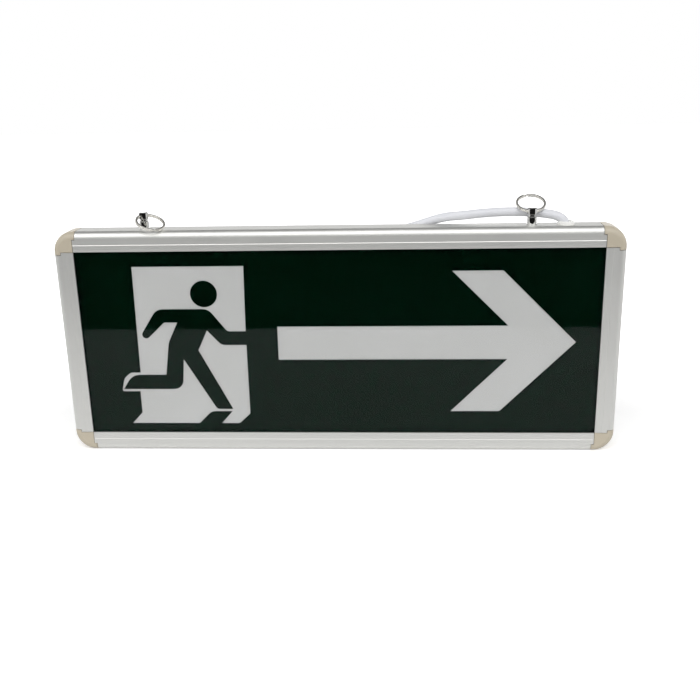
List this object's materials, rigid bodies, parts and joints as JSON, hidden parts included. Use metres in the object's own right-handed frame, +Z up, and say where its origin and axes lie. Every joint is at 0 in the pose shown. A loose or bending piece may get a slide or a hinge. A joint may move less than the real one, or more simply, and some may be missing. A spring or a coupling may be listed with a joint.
{
  "type": "emergency exit light",
  "caption": "Slim hanging emergency exit light: printed legend lit from its edge, rail frame with moulded corners, ring hangers and a supply lead.",
  "frame": {"origin": "on the flat underside of the bottom rail, midway along the sign's length and depth", "axes": "+X to the right seen from the front, along the sign's length; +Y from the printed front to the back, the sign's thickness; +Z up"},
  "size_m": [0.3508, 0.0661, 0.1614],
  "materials": {
    "aluminium": "satin anodised",
    "corner_plastic": "smooth moulded, stone grey",
    "clear_cover": "clear, polished",
    "green_film": "printed green film",
    "opal": "opal, smooth",
    "reflector": "white film",
    "back_plastic": "fine matt",
    "chrome": "bright plated",
    "zinc_steel": "zinc plated",
    "grommet_plastic": "moulded, white",
    "cord_sheath": "smooth white sheath",
    "tie_plastic": "moulded nylon, black",
    "core_brown": "insulation",
    "core_blue": "insulation",
    "core_green": "insulation, green and yellow",
    "circuit_board": "solder mask",
    "chip": "moulded lamp body",
    "nylon": "natural nylon",
    "transformer": "taped winding",
    "capacitor": "sleeved can",
    "terminal": "moulded",
    "switch_plastic": "moulded, black",
    "button_plastic": "moulded, light grey",
    "lens": "clear moulded",
    "led": "clear moulded",
    "cell_sleeve": "shrink sleeve",
    "spring_steel": "spring steel"
  },
  "bodies": {
    "housing": {"left_rail": "aluminium", "top_rail": "aluminium", "right_rail": "aluminium", "bottom_rail": "aluminium", "top_left_corner": "corner_plastic", "top_right_corner": "corner_plastic", "bottom_right_corner": "corner_plastic", "bottom_left_corner": "corner_plastic", "front_cover": "clear_cover", "legend_film": "green_film", "diffuser": "opal", "reflector_sheet": "reflector", "back_panel": "back_plastic", "hanger_post_left": "chrome", "hanger_post_right": "chrome", "hanger_nut_left": "zinc_steel", "hanger_nut_right": "zinc_steel", "board_screws": "zinc_steel", "cable_grommet": "grommet_plastic", "supply_cord": "cord_sheath", "supply_hank": "cord_sheath", "supply_tail": "cord_sheath", "lead_tie": "tie_plastic", "core_live": "core_brown", "core_neutral": "core_blue", "core_earth": "core_green", "charger_board": "circuit_board", "light_strip": "circuit_board", "light_chips": "chip", "board_spacers": "nylon", "transformer": "transformer", "capacitor": "capacitor", "terminal_block": "terminal", "button_switch": "switch_plastic", "indicator_lenses": "lens", "indicator_leds": "led", "battery_stick": "cell_sleeve", "battery_clips": "spring_steel"},
    "left_ring": {"ring_left": "chrome"},
    "right_ring": {"ring_right": "chrome"},
    "button": {"test_button": "button_plastic", "switch_plunger": "switch_plastic"}
  },
  "joints": [
    {"name": "left_ring_swing", "type": "hinge", "parent": "housing", "child": "left_ring", "pos_m": [-0.119, 0.00065, 0.153], "axis": [-0.7071, -0.7071, 0], "range_deg": [0, 230]},
    {"name": "right_ring_swing", "type": "hinge", "parent": "housing", "child": "right_ring", "pos_m": [0.119, 0.00065, 0.153], "axis": [1, 0, 0], "range_deg": [0, 192]},
    {"name": "test_button_press", "type": "slide", "parent": "housing", "child": "button", "axis": [-1, 0, 0], "range_m": [0, 0.0005], "stiffness_N_per_m": 500, "springref_m": -0.002}
  ]
}
